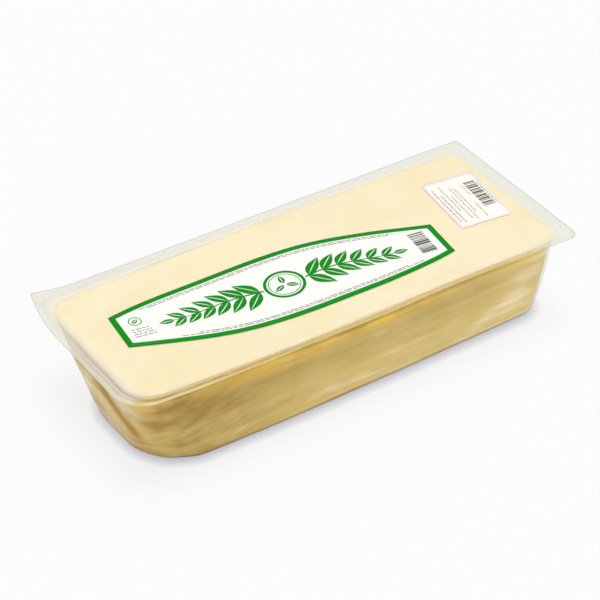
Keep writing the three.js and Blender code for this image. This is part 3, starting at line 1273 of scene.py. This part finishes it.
@dataclass
class LabelSheet(FlatPrint):
    """The long white label with bowed sides, a green border and a leaf ornament of its own design.

    Each row of dashes along a side has its side, its inset from the border and its two ends.
    """

    centre: Triple = (-21.6, -6.6, 0.0)
    turn_deg: float = -6.9
    length: float = 241.0
    end_width: float = 34.6
    middle_width: float = 70.0
    border: float = 4.2
    height: float = 0.12
    columns: int = 96
    rows: int = 16
    rings: tuple[Pair, ...] = ((14.5, 12.3), (11.2, 10.6))
    ring_steps: int = 72
    ring_leaf: float = 9.2
    badge: Triple = (-106.0, 6.5, 0.0)
    badge_ring: Pair = (4.6, 3.9)
    badge_leaf: float = 6.2
    badge_leaf_foot: Triple = (-2.4, -2.0, 0.0)
    badge_leaf_deg: float = 40.0
    leaf_steps: int = 12
    leaf_half_width: float = 0.19
    vein_half_width: float = 0.35
    stem_start: float = 15.5
    stem_reach: float = 66.0
    stem_wave: float = 2.2
    stem_half_width: float = 0.75
    stem_taper: float = 0.6
    stem_steps: int = 36
    leaf_pairs: int = 6
    first_leaf: float = 0.25
    leaf_lengths: Pair = (21.0, 12.0)
    leaf_degs: Pair = (52.0, 40.0)
    leaf_bend: float = 1.6
    tip_leaf: float = 11.0
    print_seed: int = 11
    side_rows: tuple[tuple[int, float, float, float], ...] = ((1, 1.7, -98, 92), (1, 3.3, -92, 88),
                                                              (-1, 1.7, -84, 96), (-1, 3.3, -72, 84))
    side_dash: float = 0.75
    side_dashes: Pair = (2.0, 7.0)
    end_rows: int = 4
    end_row_ends: Pair = (-112.0, -100.0)
    end_row_start: float = -2.0
    end_row_step: float = 2.6
    end_dash: float = 0.9
    end_dashes: Pair = (1.5, 4.0)
    bars_seed: int = 5
    bars_start: Triple = (105.3, 13.0, 0.0)
    bars_size: Pair = (11.5, 24.0)
    bar_unit: float = 0.58

    def half_width(self, x: float) -> float:
        """Half the label's width at a place along it."""
        bow = (self.middle_width - self.end_width) / 2
        return self.end_width / 2 + bow * max(0.0, 1 - (2 * x / self.length) ** 2)

    def grid_line(self, share: float, cells: int, half: float) -> float:
        """Place of a grid line, with the outermost cells as wide as the border.

        Args:
            share: Place of the line on an even grid from -1 to 1.
            cells: Number of cells.
            half: Half the grid's size.

        Returns:
            The place.
        """
        inside = 1 - 2 / cells
        if abs(share) > inside + 1e-6:
            return math.copysign(half, share)
        return share / inside * (half - self.border)

    def build_field(self) -> Mesh:
        """Makes the label as a grid whose outermost cells are the border.

        Returns:
            The mesh.
        """
        bm = bmesh.new()
        bmesh.ops.create_grid(bm, x_segments=self.columns, y_segments=self.rows, size=1)
        for vert in bm.verts:
            x = self.grid_line(vert.co.x, self.columns, self.length / 2)
            vert.co = Vector((x, self.grid_line(vert.co.y, self.rows, self.half_width(x)), 0))
        inner = self.length / 2 - self.border
        for face in bm.faces:
            middle = face.calc_center_median()
            edge = self.half_width(middle.x) - self.border
            face.material_index = int(abs(middle.x) > inner or abs(middle.y) > edge)
        return bm

    @staticmethod
    def turn_over(bm: Mesh, verts: list[bmesh.types.BMVert]) -> None:
        """Turns over the faces of some vertices."""
        bmesh.ops.reverse_faces(bm, faces=list({face for vert in verts for face in vert.link_faces}))

    def leaf(self, bm: Mesh, foot: Vector, angle_deg: float, length: float, bend: float = 0.0) -> None:
        """Prints one pointed leaf in two halves with a pale vein between them.

        Args:
            bm: Mesh that gets the leaf.
            foot: Where the leaf leaves its stem.
            angle_deg: Its direction from the label's own X axis.
            length: Its length.
            bend: How far its tip turns aside.
        """
        place = Matrix.Translation(foot) @ Matrix.Rotation(math.radians(angle_deg), 4, "Z")
        for side in (-1, 1):
            made = bmesh.ops.create_grid(bm, x_segments=self.leaf_steps, y_segments=1, size=0.5)["verts"]
            for vert in made:
                share = vert.co.x + 0.5
                across = vert.co.y + 0.5
                swell = math.sin(math.pi * share ** 0.8)
                vein = self.vein_half_width * min(1.0, 3 * share, 3 * (1 - share))
                y = side * (vein + across * self.leaf_half_width * length * swell)
                vert.co = Vector((share * length, y + bend * share * share, 0))
            if side < 0:
                self.turn_over(bm, made)
            bmesh.ops.transform(bm, matrix=place, verts=made)

    def build_ornament(self) -> Mesh:
        """Prints two leafy sprigs that spread from a ring in the middle, and a small ringed leaf at the left.

        Returns:
            The mesh.
        """
        bm = bmesh.new()
        badge = Vector(self.badge)
        for radii in self.rings:
            self.round_ring(bm, Vector((0, 0, 0)), radii)
        self.round_ring(bm, badge, self.badge_ring)
        self.leaf(bm, badge + Vector(self.badge_leaf_foot), self.badge_leaf_deg, self.badge_leaf)
        for angle_deg in (90, 210, 330):
            angle = math.radians(angle_deg)
            self.leaf(bm, Vector((math.cos(angle), math.sin(angle), 0)), angle_deg, self.ring_leaf)
        for side in (-1, 1):
            self.sprig(bm, side)
        return bm

    def round_ring(self, bm: Mesh, middle: Vector, radii: Pair) -> None:
        """Prints a ring.

        Args:
            bm: Mesh that gets the ring.
            middle: Its middle.
            radii: Its outer and its inner radius.
        """
        outer, inner = radii
        made = bmesh.ops.create_circle(bm, segments=self.ring_steps, radius=outer)["verts"]
        edges = list({edge for vert in made for edge in vert.link_edges})
        grown = bmesh.ops.extrude_edge_only(bm, edges=edges)["geom"]
        verts = [item for item in grown if isinstance(item, bmesh.types.BMVert)]
        bmesh.ops.scale(bm, vec=(inner / outer, inner / outer, 1), verts=verts)
        faces = [item for item in grown if isinstance(item, bmesh.types.BMFace)]
        bmesh.ops.recalc_face_normals(bm, faces=faces)
        if faces[0].normal.z < 0:
            bmesh.ops.reverse_faces(bm, faces=faces)
        bmesh.ops.translate(bm, vec=middle, verts=made + verts)

    def sprig(self, bm: Mesh, side: int) -> None:
        """Prints one sprig: a curved stem with pairs of leaves that grow smaller outwards.

        Args:
            bm: Mesh that gets the sprig.
            side: 1 for the right, -1 for the left.
        """
        def stem(share: float) -> Vector:
            """Point on the stem."""
            x = side * (self.stem_start + self.stem_reach * share)
            return Vector((x, self.stem_wave * math.sin(share * math.pi * 1.5), 0))

        made = bmesh.ops.create_grid(bm, x_segments=self.stem_steps, y_segments=1, size=0.5)["verts"]
        for vert in made:
            share = vert.co.x + 0.5
            half = self.stem_half_width * (1 - self.stem_taper * share)
            vert.co = stem(share) + Vector((0, math.copysign(half, vert.co.y), 0))
        if side < 0:
            self.turn_over(bm, made)
        for pair in range(self.leaf_pairs):
            share = (pair + self.first_leaf) / self.leaf_pairs
            for up in (-1, 1):
                angle = up * blend(*self.leaf_degs, share)
                self.leaf(bm, stem(share), angle if side > 0 else 180 - angle,
                          blend(*self.leaf_lengths, share), -up * side * self.leaf_bend)
        self.leaf(bm, stem(1.0), 0 if side > 0 else 180, self.tip_leaf)

    def build_small_print(self) -> Mesh:
        """Prints rows of grey dashes that follow the bowed sides, and a few at the left end.

        Returns:
            The mesh.
        """
        bm = bmesh.new()
        draw = random.Random(self.print_seed)
        for up, inset, start, end in self.side_rows:
            edge = self.border + inset
            self.dashes(bm, lambda x, up=up, edge=edge: Vector((x, up * (self.half_width(x) - edge), 0)),
                        (start, end), self.side_dash, draw, self.side_dashes)
        left, right = self.end_row_ends
        for row in range(self.end_rows):
            y = self.end_row_start - self.end_row_step * row
            self.dashes(bm, lambda x, y=y: Vector((x, y, 0)), (left, right + row), self.end_dash, draw,
                        self.end_dashes)
        return bm

    def build_bars(self) -> Mesh:
        """Prints the ladder of bars at the right end.

        Returns:
            The mesh.
        """
        bm = bmesh.new()
        self.bar_code(bm, self.bars_start, self.bars_size, self.bar_unit, random.Random(self.bars_seed))
        return bm

    def dress(self) -> None:
        """Builds the label and its print and gives them their finishes."""
        white = PrintFinish("white_label_film", "#F4F4EE", "#F0F0EA").material()
        green = PrintFinish("green_label_ink", Ink.GREEN.value, "#0F8A1A", 0.5, 0.08).material()
        grey = PrintFinish("grey_label_ink", Ink.GREY.value, "#999691").material()
        black = PrintFinish("black_label_ink", Ink.BLACK.value, "#444240").material()
        finish_piece("label_field", self.lay(self.build_field(), self.height), [white, green],
                     ("label",), self.sheet_thickness)
        for name, build, ink in (("label_ornament", self.build_ornament, green),
                                 ("label_small_print", self.build_small_print, grey),
                                 ("label_bars", self.build_bars, black)):
            finish_piece(name, self.lay(build(), self.height + self.ink_height), [ink],
                         thickness=self.ink_thickness)


@dataclass
class WeightSticker(FlatPrint):
    """The small white sticker near the right end, with plain bars and rows of dashes.

    Each row of dashes has its place across the sticker, its two ends and the height of its dashes.
    """

    centre: Triple = (138.2, 6.1, 0.0)
    turn_deg: float = -6.3
    length: float = 58.0
    width: float = 40.0
    corner_radius: float = 1.5
    corner_steps: int = 4
    columns: int = 12
    rows: int = 16
    height: float = 0.14
    print_seed: int = 23
    bars_start: Triple = (12.0, 18.5, 0.0)
    bars_size: Pair = (8.5, 32.0)
    bar_unit: float = 0.68
    dash_lengths: Pair = (1.2, 4.5)
    dash_rows: tuple[tuple[float, float, float, float], ...] = (
        (-16.5, -22, 20, 1.1), (-13.6, -24, 12, 1.1), (-10.2, -10, 22, 0.9), (-7.4, -22, 8, 0.9),
        (-4.0, -24, 18, 0.9), (-1.2, -16, 16, 0.9), (3.6, -24, -6, 0.9), (5.4, 4, 18, 0.8),
        (17.6, -12, 16, 0.9))

    def build_sheet(self) -> Mesh:
        """Makes the sticker as a fine grid with rounded corners.

        Returns:
            The mesh.
        """
        bm = bmesh.new()
        bmesh.ops.create_grid(bm, x_segments=self.columns, y_segments=self.rows, size=0.5)
        bmesh.ops.scale(bm, vec=(self.width, self.length, 1), verts=bm.verts)
        corners = [vert for vert in bm.verts if len(vert.link_edges) == 2]
        bmesh.ops.bevel(bm, geom=corners, affect="VERTICES", offset=self.corner_radius,
                        segments=self.corner_steps, profile=0.5, material=-1)
        return bm

    def build_print(self) -> Mesh:
        """Prints the bars and the rows of dashes.

        Returns:
            The mesh.
        """
        bm = bmesh.new()
        draw = random.Random(self.print_seed)
        self.bar_code(bm, self.bars_start, self.bars_size, self.bar_unit, draw)
        bars = len(bm.faces)
        for x, start, end, width in self.dash_rows:
            self.dashes(bm, lambda y, x=x: Vector((x, y, 0)), (start, end), width, draw, self.dash_lengths)
        for number, face in enumerate(bm.faces):
            face.material_index = int(number >= bars)
        return bm

    def dress(self) -> None:
        """Builds the sticker and its print and gives them their finishes."""
        paper = PrintFinish("thermal_paper", "#F4F0EA", "#F1ECE6", 0.6).material()
        bold = PrintFinish("thermal_print", Ink.BROWN.value, "#7B7268", 0.6).material()
        faint = PrintFinish("faint_thermal_print", Ink.FAINT.value, "#C4BEB5", 0.6).material()
        finish_piece("sticker_sheet", self.lay(self.build_sheet(), self.height), [paper],
                     ("weight_sticker",), self.sheet_thickness)
        finish_piece("sticker_print", self.lay(self.build_print(), self.height + self.ink_height),
                     [bold, faint], thickness=self.ink_thickness)


@dataclass
class Studio:
    """Pale floor, soft light from above and the camera at the photograph's angle."""

    target: Triple = (-23.3, -27.7, 72.0)
    azimuth_deg: float = -33.49
    elevation_deg: float = 36.68
    distance: float = 1651.4
    lens: float = 150.0
    sensor: float = 36.0
    floor_side: float = 8000.0
    floor_colour: str = "#E6E8EB"
    contact_shade: str = "#CCCCD4"
    contact_reach: float = 8.0
    floor_glow: float = 0.82
    floor_level: float = 0.985
    sky_light: float = 0.55
    panel_light: float = 1.73
    panel_angle_deg: float = 30.0
    panel_from: Triple = (0.0, 0.0, 1.0)
    front_light: float = 0.4
    front_angle_deg: float = 60.0
    front_from: Triple = (-0.2, -0.88, 0.43)
    film_layers: int = 24

    def build_camera(self) -> None:
        """Sets the camera up."""
        azimuth = math.radians(self.azimuth_deg)
        elevation = math.radians(self.elevation_deg)
        back = Vector((math.sin(azimuth) * math.cos(elevation), -math.cos(azimuth) * math.cos(elevation),
                       math.sin(elevation)))
        data = bpy.data.cameras.new("camera")
        data.lens = self.lens
        data.sensor_width = self.sensor
        camera = new_object("camera", data)
        camera.location = (Vector(self.target) + back * self.distance) * MM
        camera.rotation_mode = "QUATERNION"
        camera.rotation_quaternion = (-back).to_track_quat("-Z", "Y")
        bpy.context.scene.camera = camera

    def build_floor(self) -> None:
        """Lays the floor under the pack."""
        material = bpy.data.materials.new("pale_lit_floor")
        tree = bare_tree(material)
        matte = add_node(tree, "BsdfDiffuse", Color=linear(self.floor_colour))[0]
        near = add_node(tree, "AmbientOcclusion", Distance=self.contact_reach * MM)["AO"]
        light = add_node(tree, "ValToRGB", stops={0.2: self.contact_shade, 0.95: WHITE}, Fac=near)[0]
        glow = add_node(tree, "Emission", Color=light, Strength=self.floor_level)[0]
        mixed = add_node(tree, "MixShader", s0=self.floor_glow, s1=matte, s2=glow)[0]
        add_node(tree, "OutputMaterial", Surface=mixed)
        bm = bmesh.new()
        bmesh.ops.create_grid(bm, x_segments=1, y_segments=1, size=self.floor_side * MM / 2)
        floor = new_object("floor", new_mesh("floor", bm, [material]))

    def build_light(self) -> None:
        """Lights the pack from broad panels overhead and in front, and from an even sky."""
        scene = bpy.context.scene
        scene.world = bpy.data.worlds.new("even_sky")
        tree = bare_tree(scene.world)
        sky = add_node(tree, "Background", Color=linear(WHITE), Strength=self.sky_light)[0]
        add_node(tree, "OutputWorld", Surface=sky)
        for name, energy, angle_deg, source in (
                ("overhead_panel", self.panel_light, self.panel_angle_deg, self.panel_from),
                ("front_panel", self.front_light, self.front_angle_deg, self.front_from)):
            data = bpy.data.lights.new(name, "SUN")
            data.energy = energy
            data.angle = math.radians(angle_deg)
            panel = new_object(name, data)
            panel.rotation_mode = "QUATERNION"
            panel.rotation_quaternion = Vector(source).to_track_quat("Z", "Y")
        scene.view_settings.view_transform = "Standard"
        scene.cycles.transparent_max_bounces = self.film_layers

    def build(self) -> None:
        """Builds the camera, the floor and the light."""
        self.build_camera()
        self.build_floor()
        self.build_light()


def main() -> None:
    """Builds the studio and the pack, piece by piece."""
    logging.basicConfig(level=logging.INFO, format="%(name)s %(message)s")
    Studio().build()
    cheese = CheeseBlock()
    cheese.dress()
    pack = FilmPack(cheese)
    pack.dress()
    LabelSheet(pack).dress()
    WeightSticker(pack).dress()


if __name__ == "__main__":
    main()
